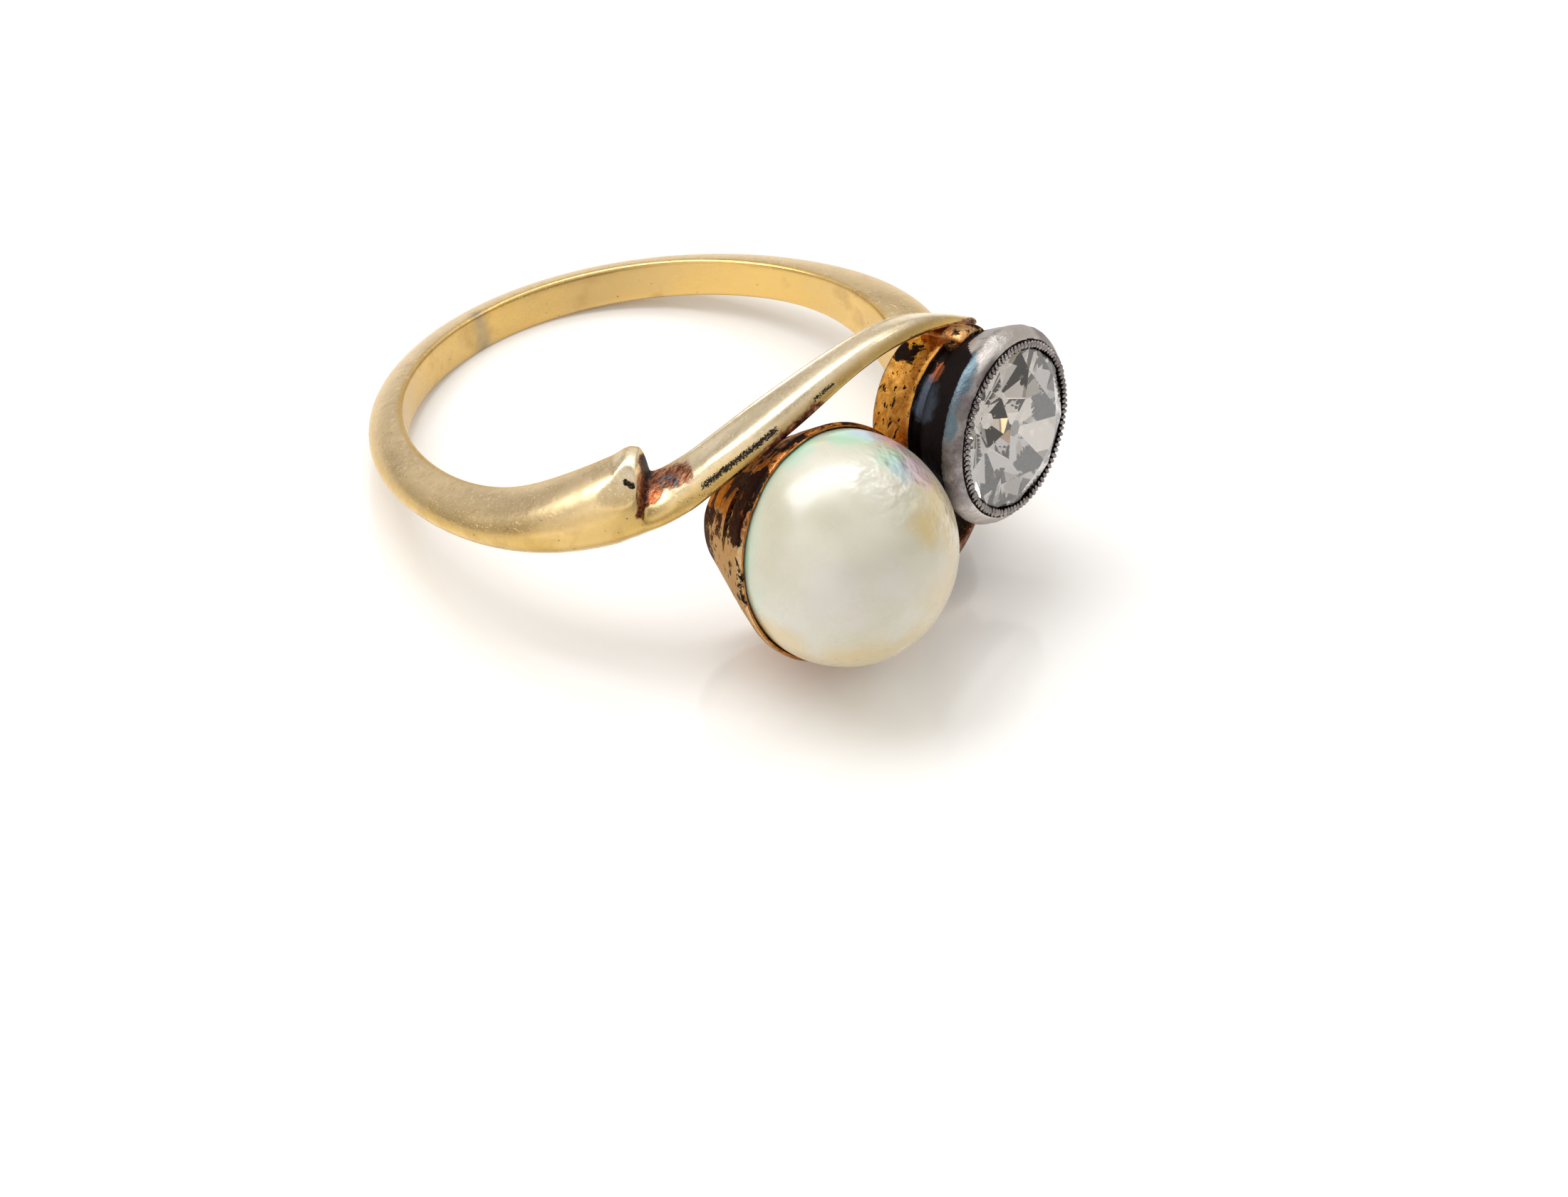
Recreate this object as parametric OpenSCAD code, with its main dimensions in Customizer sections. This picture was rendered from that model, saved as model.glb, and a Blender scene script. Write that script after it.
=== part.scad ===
/* [Finger size] */
// Inside diameter of the shank, which is the finger size
finger_d = 17; // [16:0.25:19]

/* [Shank and arms] */
// Thickness of the gold, against the thickness in the station table
metal_scale = 1; // [0.9:0.02:1.15]
// Height of the arms' crossing, against the heights in the station table
sweep_scale = 1; // [0.95:0.01:1.05]
// How far the right arm stands further out than the left one
right_arm_out = 1.1; // [0:0.05:1.3]

/* [Pearl] */
// Width of the pearl
pearl_d = 7.5; // [7.1:0.05:7.7]
// Height of the pearl against its width
pearl_tall = 1.05; // [1:0.01:1.06]
// Distance from the finger to the pearl's centre
pearl_out = 3.8; // [3.7:0.05:4.1]
// Angle of the pearl's centre from the front, towards the left
pearl_turn = 16.3; // [15:0.1:18]
// Height of the pearl's centre on the finger axis
pearl_up = -0.59; // [-0.8:0.01:-0.4]

/* [Pearl cup] */
// Width of the cup's lip
lip_d = 8; // [7.94:0.02:8.2]
// Depth from the pearl's centre to the cup's lip
lip_depth = 0.6; // [0.5:0.05:0.8]
// Depth from the pearl's centre to the plate that the pearl sits on
plate_depth = 1.05; // [1:0.05:1.3]
// Depth from the pearl's centre to the cup's foot
foot_depth = 4.6; // [4.2:0.1:5]
// Width of the cup's foot
foot_d = 4.2; // [3.8:0.1:4.8]
// Thickness of the cup's wall and plate
cup_wall = 0.4; // [0.3:0.05:0.5]
// Number of slots around the cup
slots = 6; // [4:1:8]
// Width of the peg that holds the pearl
peg_d = 0.9; // [0.7:0.05:1.1]

/* [Diamond and its setting] */
// Width of the diamond at its girdle
diamond_d = 5.76; // [5.6:0.02:5.8]
// Distance from the finger to the front of the collet
diamond_out = 5.31; // [5.1:0.01:5.5]
// Angle of the diamond's centre from the front, towards the right
diamond_turn = 14.8; // [14:0.1:16]
// Height of the diamond's centre on the finger axis
diamond_up = 0.93; // [0.8:0.01:1.1]
// Width of the silver collet
collet_d = 6.76; // [6.6:0.02:6.9]
// Depth from the collet's front to the back edge of its skirt
collet_depth = 1.62; // [1.4:0.02:1.8]
// Width of the gold gallery at its ridge
gallery_d = 5.4; // [5.2:0.02:5.6]
// Height of the diamond's table over its girdle
crown_h = 0.8; // [0.6:0.05:1]
// Depth of the diamond's pavilion
pavilion_h = 2.3; // [2:0.05:2.4]

/* [Lying on a table] */
// Lean of the finger axis from upright
lean = 13.2; // [12.5:0.1:14]
// Direction that the leaning axis points to, counted from the right
lean_towards = 81.2; // [76:0.1:86]
// Height of the shank's middle over the table
lift = 2.63; // [2.55:0.01:2.75]
// Shift that centres the ring over its origin, from left to right
centre_x = 0; // [-3:0.01:3]
// Shift that centres the ring over its origin, from front to back
centre_y = 2.92; // [-5:0.01:5]

/* [Hidden] */
$fn = 96;

// Small gap between pieces
gap = 0.03;
finger_r = finger_d / 2;
pearl_r = pearl_d / 2;
pearl_heading = 6.6;
pearl_pitch = 4.4;
diamond_heading = 6.3;
diamond_pitch = -1.3;
// Overlap that carries a cut clear of a surface
past = 1;

// Stations along one half of the shank, from the back of the ring to the arm's tip
AT = 0; // angle from the back
IN = 1; // inner wall, beyond the finger
THICK = 2; // thickness
TOP = 3; // upper edge
LOW = 4; // lower edge
RIDGE = 5; // height of the outer ridge
FULL_TOP = 6; // fullness of the upper flank, 2 for an ellipse
FULL_LOW = 7; // fullness of the lower flank
stations = [
    [0, 0, 1.30, 0.71, -0.71, 0, 2, 2],
    [40, 0, 1.25, 0.71, -0.71, 0, 2, 2],
    [80, 0, 1.55, 0.71, -0.71, 0, 2, 2],
    [100, 0, 1.95, 0.98, -0.75, 0.1, 2, 2],
    [115, 0, 2.12, 1.83, -0.65, 0.3, 2.15, 2],
    [127, 0, 2.00, 2.58, -0.28, 0.62, 2.3, 2],
    [131, 0, 1.95, 2.86, -0.08, 0.72, 2.4, 2],
    [132.4, 0, 1.92, 2.80, 0.00, 0.76, 2.4, 2],
    [133.4, 0, 1.88, 2.50, 0.06, 0.8, 2.2, 2],
    [134.2, 0, 1.85, 1.88, 0.11, 0.8, 1.7, 2],
    [141, 0, 1.78, 2.20, 0.70, 1.2, 2.1, 2.1],
    [148, 0, 1.80, 2.75, 1.60, 1.95, 2.1, 2.5],
    [156, 0.32, 1.72, 3.55, 2.66, 2.95, 2.1, 3],
    [164, 0.68, 1.62, 4.22, 3.26, 3.52, 2.1, 3],
    [172, 1.00, 1.50, 4.74, 3.90, 4.13, 2.2, 3],
    [180, 1.22, 1.38, 5.05, 4.33, 4.53, 2.3, 3],
    [187, 1.40, 1.25, 5.07, 4.42, 4.60, 2.4, 3],
    [194, 1.70, 1.05, 4.86, 4.32, 4.48, 2.5, 3],
    [200, 2.15, 0.75, 4.45, 4.08, 4.20, 2.5, 3],
    [206.5, 2.95, 0.25, 3.75, 3.60, 3.67, 2.5, 3]
];
// The bore is cut to size, so the metal starts a little inside it
bore_stock = 0.16;
// Angle at which the arm's inner wall leaves the finger
leave_at = 148;
// Largest angle between two sections
section_step = 5;
// Points on each flank of a section
flank = 5;
// Angle and spread of the right arm's own bulge
bulge_at = 156;
bulge_spread = 20;

// Rise from a row of the table to the next one, per degree, in one column
function grade(i, c) =
    (stations[i + 1][c] - stations[i][c]) / (stations[i + 1][AT] - stations[i][AT]);
// Slope of a column at a row, kept from overshooting between rows
function slope(i, c) =
    i == 0 ? 0
    : i == len(stations) - 1 ? grade(i - 1, c)
    : grade(i - 1, c) * grade(i, c) <= 0 ? 0
    : 2 * grade(i - 1, c) * grade(i, c) / (grade(i - 1, c) + grade(i, c));
// A column's value on the smooth curve, f of the way from row i to the next
function between(i, c, f) =
    let (w = stations[i + 1][AT] - stations[i][AT])
    stations[i][c] * (1 + 2 * f) * pow(1 - f, 2)
    + slope(i, c) * w * f * pow(1 - f, 2)
    + stations[i + 1][c] * f * f * (3 - 2 * f)
    + slope(i + 1, c) * w * f * f * (f - 1);
function steps(i) = ceil((stations[i + 1][AT] - stations[i][AT]) / section_step);
// A section's row of values: the columns of the table at any place
function row(i, f) = [for (c = [AT : FULL_LOW]) between(i, c, f)];
half_rows = [
    for (i = [0 : len(stations) - 2])
        for (k = [0 : steps(i) - 1]) row(i, k / steps(i)),
    row(len(stations) - 2, 1)
];

// Point on a rounded flank, a quarter turn from the ridge at angle 0 to the edge at 90
function flank_point(base, thick, ridge, edge, full, a) =
    [base + thick * pow(cos(a), 2 / full), ridge + (edge - ridge) * pow(sin(a), 2 / full)];
// Outline of a section as distance from the finger axis and height
function outline(s) =
    let (
        base = finger_r + s[IN] - bore_stock * max(0, min(1, (leave_at + 8 - s[AT]) / 8)),
        thick = s[THICK] * metal_scale + finger_r + s[IN] - base,
        top = s[TOP] * (s[AT] > leave_at ? sweep_scale : 1)
    )
    concat(
        [[base, s[LOW]], [base, top]],
        [for (i = [1 : flank])
            flank_point(base, thick, s[RIDGE], top, s[FULL_TOP], 90 * (1 - i / flank))],
        [for (i = [1 : flank - 1])
            flank_point(base, thick, s[RIDGE], s[LOW], s[FULL_LOW], 90 * i / flank)]
    );
function around(p, a) = [p[0] * cos(90 + a), p[0] * sin(90 + a), p[1]];
function left_section(s) = [for (p = outline(s)) around(p, s[AT])];
// The right half is the left one turned half a turn about the front to back line
function bulge(a) = right_arm_out * exp(-pow((a - bulge_at) / bulge_spread, 2));
function right_section(s) =
    let (
        o = outline(s),
        n = len(o),
        order = concat([1, 0], [for (i = [0 : n - 3]) n - 1 - i])
    )
    [for (i = order)
        let (p = around([o[i][0] + bulge(s[AT]), o[i][1]], s[AT]))
        [-p[0], p[1], -p[2]]];
sections = concat(
    [for (i = [len(half_rows) - 1 : -1 : 1]) left_section(half_rows[i])],
    [for (i = [0 : len(half_rows) - 1]) right_section(half_rows[i])]
);

// Solid whose skin runs through closed sections that all have the same count of points
module skin(rings) {
    n = len(rings[0]);
    last = len(rings) - 1;
    polyhedron(
        points = [for (r = rings) each r],
        faces = concat(
            [[for (i = [n - 1 : -1 : 0]) i]],
            [for (k = [0 : last - 1])
                for (i = [0 : n - 1])
                    each [
                        [k * n + i, (k + 1) * n + (i + 1) % n, (k + 1) * n + i],
                        [k * n + i, k * n + (i + 1) % n, (k + 1) * n + (i + 1) % n]
                    ]],
            [[for (i = [0 : n - 1]) last * n + i]]
        ),
        convexity = 10
    );
}

// The shank with its notched shoulders and both arms
module shank_and_arms() {
    skin(sections);
}

// Places a stone's setting: its own Z points out of the ring, its X to the right
module setting(turn, out, up, heading, pitch) {
    rotate([0, 0, -turn])
        translate([0, -finger_r - out, up])
            rotate([90 - pitch, 0, turn - heading])
                children();
}
module pearl_setting() {
    setting(pearl_turn, pearl_out, pearl_up, pearl_heading, pearl_pitch) children();
}
module diamond_setting() {
    setting(-diamond_turn, diamond_out, diamond_up, -diamond_heading, diamond_pitch) children();
}
// The whole ring as it lies on a table, centred over the origin
module lying() {
    translate([centre_x, centre_y, lift])
        rotate(a = lean, v = [-sin(lean_towards), cos(lean_towards), 0])
            children();
}

// Outer cone of the cup, with the lip at its front edge
module cup_body() {
    lip_r = lip_d / 2;
    rotate_extrude()
        polygon([
            [0, -foot_depth],
            [foot_d / 2, -foot_depth],
            [lip_r - 0.42, -1.8],
            [lip_r - 0.12, -1.1],
            [lip_r, -lip_depth - 0.22],
            [lip_r - 0.02, -lip_depth],
            [0, -lip_depth]
        ]);
}
// Open back of the cup, behind its plate
module cup_hollow() {
    lip_r = lip_d / 2;
    back = plate_depth + cup_wall;
    rotate_extrude()
        polygon([
            [0, -back],
            [lip_r - 0.12 - 0.43 * (back - 1.1) - cup_wall, -back],
            [foot_d / 2 - cup_wall, -foot_depth],
            [foot_d / 2 - cup_wall, -foot_depth - past],
            [0, -foot_depth - past]
        ]);
}
// Curved slots through the cup's wall
module cup_slots() {
    pitch = 360 / slots;
    for (i = [0 : slots - 1])
        rotate([0, 0, 150 + pitch * i - pitch / 3])
            rotate_extrude(angle = pitch * 2 / 3)
                polygon([[2.2, -2.42], [4, -2.42], [4, -2.02], [2.2, -2.02]]);
}
// Round seat for the pearl, in front of the cup's plate, as wide as the pearl is tall
function pearl_reach(depth) = pearl_tall * sqrt(pow(pearl_r, 2) - pow(depth, 2));
module pearl_seat() {
    rotate_extrude()
        polygon([
            [0, -plate_depth],
            [pearl_reach(plate_depth) + gap, -plate_depth],
            [pearl_reach(lip_depth) + gap, -lip_depth],
            [pearl_reach(0) + 0.2, 0],
            [0, 0]
        ]);
}
// Pearl before it is ground and drilled
pearl_steps = 40;
module pearl_ball() {
    pearl_setting()
        rotate([pearl_pitch - 90, 0, 0])
            rotate_extrude()
                polygon([for (i = [0 : pearl_steps])
                    let (a = 180 * i / pearl_steps)
                    [pearl_r * sin(a), pearl_r * pearl_tall * cos(a)]]);
}
module peg(margin) {
    pearl_setting()
        translate([0, 0, -plate_depth - cup_wall / 2])
            cylinder(d = peg_d + 2 * margin, h = 2 + margin);
}

// Gold gallery behind the collet: a straight neck, a ridge and a tapered band, open at the back
neck_r = gallery_d / 2 - 0.25;
module gallery_body() {
    ridge_r = gallery_d / 2;
    rotate_extrude()
        polygon([
            [0, -1],
            [neck_r, -1],
            [neck_r, -2.35],
            [ridge_r - 0.02, -2.42],
            [ridge_r, -2.75],
            [ridge_r - 0.18, -4],
            [0, -4]
        ]);
}
module gallery_bore() {
    translate([0, 0, -4 - past])
        cylinder(r = gallery_d / 2 - 0.65, h = 4 + past);
}
// Solder that carries an arm's tip on a setting: lower at its back, higher towards the front
module saddle(inner, low, high, front, back, start, sweep) {
    rotate([0, 0, start])
        rotate_extrude(angle = sweep)
            polygon([
                [inner, -back],
                [low, -back],
                [low, -(front + back) / 2],
                [high, -front - 0.4],
                [high, -front],
                [inner, -front]
            ]);
}

// Bar of solder from the gallery's back to the pearl's cup
module bridge() {
    rotate([0, 0, 194])
        translate([2.3, 0, -3.15])
            rotate([0, 90, 0])
                cylinder(d = 0.7, h = 1.08);
}

// What the table has worn off: the ring's lowest places are flat
module worn_away() {
    translate([0, 0, -5])
        cube([60, 60, 10], center = true);
}
// Slotted cup with its plate and peg, and the solder under the right arm's tip
module pearl_cup() {
    difference() {
        pearl_setting()
            difference() {
                union() {
                    difference() {
                        cup_body();
                        cup_slots();
                    }
                    saddle(2.9, 3.6, 3.7, 1.7, 2.7, 238, 28);
                }
                cup_hollow();
                pearl_seat();
            }
        cylinder(r = finger_r, h = 20, center = true);
    }
    peg(0);
}
// Gallery with the solder under the left arm's tip and the bridge to the cup
module gallery() {
    diamond_setting()
        difference() {
            union() {
                gallery_body();
                saddle(2.2, 3.15, 3.3, collet_depth + 0.06, 3.5, 58, 36);
                bridge();
            }
            gallery_bore();
        }
}
module gold_mount() {
    color("goldenrod") {
        difference() {
            lying()
                difference() {
                    shank_and_arms();
                    cylinder(r = finger_r, h = 20, center = true);
                }
            worn_away();
        }
        lying() pearl_cup();
        lying() gallery();
    }
}

// Silver collet: skirt around the gallery's neck, seat, groove for the girdle and a lip over the stone
module silver_collet() {
    r = collet_d / 2;
    g = diamond_d / 2;
    color("lightslategray")
        lying()
            diamond_setting()
                rotate_extrude()
                    polygon([
                        [2.15, -1 + gap],
                        [neck_r + gap, -1 + gap],
                        [neck_r + gap, -collet_depth],
                        [r - 0.46, -collet_depth],
                        [r - 0.34, -collet_depth + 0.08],
                        [r - 0.1, -0.95],
                        [r, -0.62],
                        [r - 0.02, -0.4],
                        [r - 0.26, -0.1],
                        [r - 0.43, 0.02],
                        [g - 0.04, 0.06],
                        [g - 0.09, 0.03],
                        [g + gap, -0.06],
                        [g + gap, -0.16]
                    ]);
}

// Pearl with a flat back, where it sits on the cup's plate, and a blind hole for the peg
module pearl() {
    color("ivory")
        lying()
            difference() {
                pearl_ball();
                pearl_setting()
                    translate([0, 0, gap - plate_depth - 5])
                        cylinder(r = 8, h = 5);
                peg(0.05);
            }
}

// Old cut diamond: table, 8 stars, 8 kites, 16 upper and 16 lower girdle facets, 8 mains and a culet
table_part = 0.5;
star_part = 0.74;
lower_part = 0.52;
culet_part = 0.1;
girdle_h = 0.06;
stone_spin = 10;
function ring_of(r, z, n, start) = [for (i = [0 : n - 1])
    [r * cos(start + 360 * i / n), r * sin(start + 360 * i / n), z]];
module cut_stone(r, crown, pavilion) {
    half = 180 / 8;
    table_r = r * table_part;
    star_r = r * star_part;
    lower_r = r * lower_part;
    culet_r = r * culet_part;
    crown_grade = (crown - girdle_h / 2) / (r - table_r);
    pavilion_grade = (pavilion - girdle_h / 2) / (r - culet_r * cos(half));
    star_z = crown - (star_r * cos(half) - table_r) * crown_grade;
    lower_z = -girdle_h / 2 - (r - lower_r * cos(half)) * pavilion_grade;
    // First point of each ring
    table_at = 0;
    star_at = 8;
    upper_at = 16;
    under_at = 32;
    lower_at = 48;
    culet_at = 56;
    polyhedron(
        points = concat(
            ring_of(table_r, crown, 8, 0),
            ring_of(star_r, star_z, 8, half),
            ring_of(r, girdle_h / 2, 16, 0),
            ring_of(r, -girdle_h / 2, 16, 0),
            ring_of(lower_r, lower_z, 8, half),
            ring_of(culet_r, -pavilion, 8, half)
        ),
        faces = concat(
            [[for (i = [7 : -1 : 0]) table_at + i]],
            [[for (i = [0 : 7]) culet_at + i]],
            [for (i = [0 : 7])
                let (
                    next = (i + 1) % 8,
                    before = (i + 7) % 8,
                    edge = 2 * i,
                    edge_next = (2 * i + 2) % 16
                )
                each [
                    [table_at + i, table_at + next, star_at + i],
                    [table_at + i, star_at + i, upper_at + edge, star_at + before],
                    [star_at + i, upper_at + edge + 1, upper_at + edge],
                    [star_at + i, upper_at + edge_next, upper_at + edge + 1],
                    [upper_at + edge, upper_at + edge + 1, under_at + edge + 1, under_at + edge],
                    [upper_at + edge + 1, upper_at + edge_next,
                        under_at + edge_next, under_at + edge + 1],
                    [lower_at + i, under_at + edge, under_at + edge + 1],
                    [lower_at + i, under_at + edge + 1, under_at + edge_next],
                    [lower_at + before, under_at + edge, lower_at + i,
                        culet_at + i, culet_at + before]
                ]]
        ),
        convexity = 4
    );
}
module diamond() {
    color("white")
        lying()
            diamond_setting()
                translate([0, 0, -0.11])
                    rotate([0, 0, stone_spin])
                        cut_stone(diamond_d / 2, crown_h, pavilion_h);
}

gold_mount();
silver_collet();
pearl();
diamond();
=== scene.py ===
"""Pearl and diamond crossover ring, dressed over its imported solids.

The pieces are modelled in millimetres in the ring's own frame: the finger's axis is Z, the stones
are towards -Y. Each finished piece is then laid on the table as the ring lies there, in metres.
"""
import math
import random

import bmesh
import bpy
from mathutils import Matrix, Vector, noise


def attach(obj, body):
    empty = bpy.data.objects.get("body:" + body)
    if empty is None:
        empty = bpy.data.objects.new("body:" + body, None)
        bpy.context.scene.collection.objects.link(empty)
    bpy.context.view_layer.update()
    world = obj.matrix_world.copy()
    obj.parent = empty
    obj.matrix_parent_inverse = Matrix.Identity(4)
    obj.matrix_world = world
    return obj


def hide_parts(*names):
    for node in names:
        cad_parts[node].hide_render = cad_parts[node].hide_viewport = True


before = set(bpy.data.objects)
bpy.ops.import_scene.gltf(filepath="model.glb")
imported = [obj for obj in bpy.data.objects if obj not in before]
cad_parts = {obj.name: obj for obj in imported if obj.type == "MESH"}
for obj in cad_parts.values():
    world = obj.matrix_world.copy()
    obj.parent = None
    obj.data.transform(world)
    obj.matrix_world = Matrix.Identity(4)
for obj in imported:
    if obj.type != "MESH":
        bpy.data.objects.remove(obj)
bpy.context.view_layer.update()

# ---------- sizes, in millimetres
FINGER_R = 8.5
PEARL_R = 3.75
# how the ring lies: its middle above the table and behind the middle of the scene, and its lean
RING_LIFT = 2.63
RING_BACK = 2.92
LEAN = math.radians(13.2)
LEAN_TOWARDS = math.radians(81.2)
METRES = Matrix.Scale(0.001, 4)
TALLER = Matrix.Diagonal((1, 1.05, 1, 1))       # the pearl and its cup are taller than wide

# Stations along one half of the shank, from the back of the ring to the arm's tip: angle from the
# back, inner wall beyond the finger, thickness, upper edge, lower edge, ridge, and the fullness of
# the upper and the lower flank
STATIONS = [
    (0, 0, 1.30, 0.71, -0.71, 0, 2, 2),
    (40, 0, 1.25, 0.71, -0.71, 0, 2, 2),
    (80, 0, 1.55, 0.71, -0.71, 0, 2, 2),
    (100, 0, 1.95, 0.98, -0.75, 0.1, 2, 2),
    (115, 0, 2.12, 1.83, -0.65, 0.3, 2.15, 2),
    (127, 0, 2.00, 2.58, -0.28, 0.62, 2.3, 2),
    (131, 0, 1.95, 2.86, -0.08, 0.72, 2.4, 2),
    (132.9, 0, 1.92, 2.80, 0.00, 0.76, 2.4, 2),
    (133.9, 0, 1.88, 2.46, 0.06, 0.8, 2.2, 2),
    (134.6, 0, 1.85, 1.86, 0.11, 0.8, 1.7, 2),
    (141, 0, 1.78, 2.20, 0.70, 1.2, 2.1, 2.1),
    (148, 0, 1.80, 2.75, 1.60, 1.95, 2.1, 2.5),
    (156, 0.30, 1.76, 3.60, 2.52, 2.84, 2.1, 2.8),
    (164, 0.65, 1.56, 4.30, 3.22, 3.50, 2.1, 2.7),
    (172, 0.97, 1.26, 4.84, 4.06, 4.28, 2.2, 2.6),
    (180, 1.20, 1.17, 5.12, 4.46, 4.66, 2.3, 2.6),
    (187, 1.40, 1.14, 5.13, 4.48, 4.66, 2.4, 2.8),
    (194, 1.70, 1.05, 4.88, 4.26, 4.42, 2.5, 3),
    (200, 2.15, 0.80, 4.42, 3.92, 4.06, 2.5, 3),
    (206.5, 2.90, 0.42, 3.52, 3.20, 3.32, 2.5, 3),
]
# angles of the notch's start and end, of the last place that stays sharp, of the arm's start, and
# of a place past its tip
NOTCH_FROM, NOTCH_TO, SHARP_TO, ARM_FROM, PAST_TIP = 127, 134, 143, 148, 208
FACE_FROM, FACE_TO = 108, 132.6     # angles of the flat face beside the notch
FLANK = 11                  # steps along each flank of a section
CREST_PASSES = 9            # more of them round the arm's crest further
EASING_PASSES = 30          # more of them even the curves along the shank further
WORN_BY = 0.03


def clamped(value):
    return max(0.0, min(1.0, value))


def turned(degrees, axis):
    return Matrix.Rotation(math.radians(degrees), 4, axis)


def setting(turn, out, up, heading, pitch):
    """Where a stone's setting sits in the ring: its own Z points out of the ring, its X to the right."""
    return (turned(-turn, "Z") @ Matrix.Translation((0, -FINGER_R - out, up))
            @ turned(turn - heading, "Z") @ turned(90 - pitch, "X"))


PEARL_SEAT = setting(turn=16.3, out=3.8, up=-0.59, heading=6.6, pitch=4.4)
DIAMOND_SEAT = setting(turn=-14.8, out=5.31, up=0.93, heading=-6.3, pitch=-1.3)
RING_SEAT = Matrix.Identity(4)
LYING = (Matrix.Translation((0, RING_BACK, RING_LIFT))
         @ Matrix.Rotation(LEAN, 4, Vector((-math.sin(LEAN_TOWARDS), math.cos(LEAN_TOWARDS), 0))))
ON_TABLE = METRES @ LYING

# ---------- laying out nodes


class Nodes:
    """Small help for laying out a node tree."""

    def __init__(self, tree):
        self.tree = tree

    def node(self, kind, **values):
        made = self.tree.nodes.new(kind)
        for key, value in values.items():
            setattr(made, key, value)
        return made

    def join(self, a, b):
        self.tree.links.new(a, b)

    def between(self, value, low, high, out_low=0.0, out_high=1.0):
        """Soft step from out_low to out_high while the value goes from low to high."""
        made = self.node("ShaderNodeMapRange", interpolation_type="SMOOTHSTEP")
        made.inputs["From Min"].default_value = low
        made.inputs["From Max"].default_value = high
        made.inputs["To Min"].default_value = out_low
        made.inputs["To Max"].default_value = out_high
        self.join(value, made.inputs["Value"])
        return made.outputs["Result"]

    def math(self, kind, a, b):
        made = self.node("ShaderNodeMath", operation=kind)
        for value, socket in ((a, made.inputs[0]), (b, made.inputs[1])):
            if isinstance(value, (int, float)):
                socket.default_value = value
            else:
                self.join(value, socket)
        return made.outputs[0]

    def plus(self, a, b):
        return self.math("ADD", a, b)

    def minus(self, a, b):
        return self.math("SUBTRACT", a, b)

    def times(self, a, b):
        return self.math("MULTIPLY", a, b)

    def ramp(self, value, stops):
        """Colours along a value, from (place, colour) stops."""
        made = self.node("ShaderNodeValToRGB")
        band = made.color_ramp
        while len(band.elements) < len(stops):
            band.elements.new(0.5)
        for element, (at, colour) in zip(band.elements, stops):
            element.position = at
            element.color = (*colour, 1)
        self.join(value, made.inputs["Fac"])
        return made.outputs["Color"]


class Paint(Nodes):
    """A material, with patterns sized in millimetres."""

    def __init__(self, name):
        self.material = bpy.data.materials.new(name)
        self.material.use_nodes = True
        super().__init__(self.material.node_tree)
        self.shader = self.tree.nodes["Principled BSDF"]
        self.place = self.node("ShaderNodeTexCoord").outputs["Object"]

    def noise(self, scale, detail=3.0, rough=0.5, stretch=None, distortion=0.0):
        """Noise from 0 to 1; scale is in cycles per millimetre."""
        made = self.node("ShaderNodeTexNoise")
        made.inputs["Scale"].default_value = scale * 1000
        made.inputs["Detail"].default_value = detail
        made.inputs["Roughness"].default_value = rough
        made.inputs["Distortion"].default_value = distortion
        self.join(self.stretched(stretch), made.inputs["Vector"])
        return made.outputs["Fac"]

    def stretched(self, stretch):
        """Place scaled by the first three numbers, and turned by the last three in degrees."""
        if stretch is None:
            return self.place
        mapping = self.node("ShaderNodeMapping")
        mapping.inputs["Scale"].default_value = stretch[:3]
        if len(stretch) > 3:
            mapping.inputs["Rotation"].default_value = [math.radians(a) for a in stretch[3:]]
        self.join(self.place, mapping.inputs["Vector"])
        return mapping.outputs["Vector"]

    def cells(self, scale):
        """Distance to the nearest of scattered points, this many to a millimetre."""
        made = self.node("ShaderNodeTexVoronoi")
        made.inputs["Scale"].default_value = scale * 1000
        self.join(self.place, made.inputs["Vector"])
        return made.outputs["Distance"]

    def mark(self, name):
        """What marked() wrote under this name."""
        made = self.node("ShaderNodeAttribute", attribute_name=name)
        return made.outputs["Fac"]

    def centred(self, pattern, amount):
        """A pattern about zero, this strong."""
        return self.times(self.minus(pattern, 0.5), amount)

    def ragged(self, mark, pattern, amount, low, high, most=1.0):
        """Where a mark lies, its edge broken up by a pattern."""
        edge = self.plus(self.mark(mark), self.centred(pattern, amount))
        return self.between(edge, low, high, 0, most)

    def blend(self, share, a, b):
        """Colour a, with b over it where share is 1."""
        made = self.node("ShaderNodeMix", data_type="RGBA")
        self.join(share, made.inputs["Factor"])
        for value, socket in ((a, made.inputs[6]), (b, made.inputs[7])):
            if isinstance(value, tuple):
                socket.default_value = (*value, 1)
            else:
                self.join(value, socket)
        return made.outputs[2]

    def coat(self, share, tint):
        """Lays a colour over the colour so far where share is 1."""
        self.colour = self.blend(share, self.colour, tint)

    def bump(self, height, depth, below=None):
        """Relief of the given depth in millimetres."""
        made = self.node("ShaderNodeBump")
        made.inputs["Distance"].default_value = depth * 0.001
        self.join(height, made.inputs["Height"])
        if below is not None:
            self.join(below, made.inputs["Normal"])
        return made.outputs["Normal"]

    def set(self, **values):
        """Sets the shader's inputs and gives back the finished material."""
        for key, value in values.items():
            socket = self.shader.inputs[key.replace("_", " ")]
            if isinstance(value, tuple):
                socket.default_value = (*value, 1) if socket.type == "RGBA" else value
            elif isinstance(value, (int, float)):
                socket.default_value = value
            else:
                self.join(value, socket)
        return self.material


# ---------- camera and light


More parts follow.
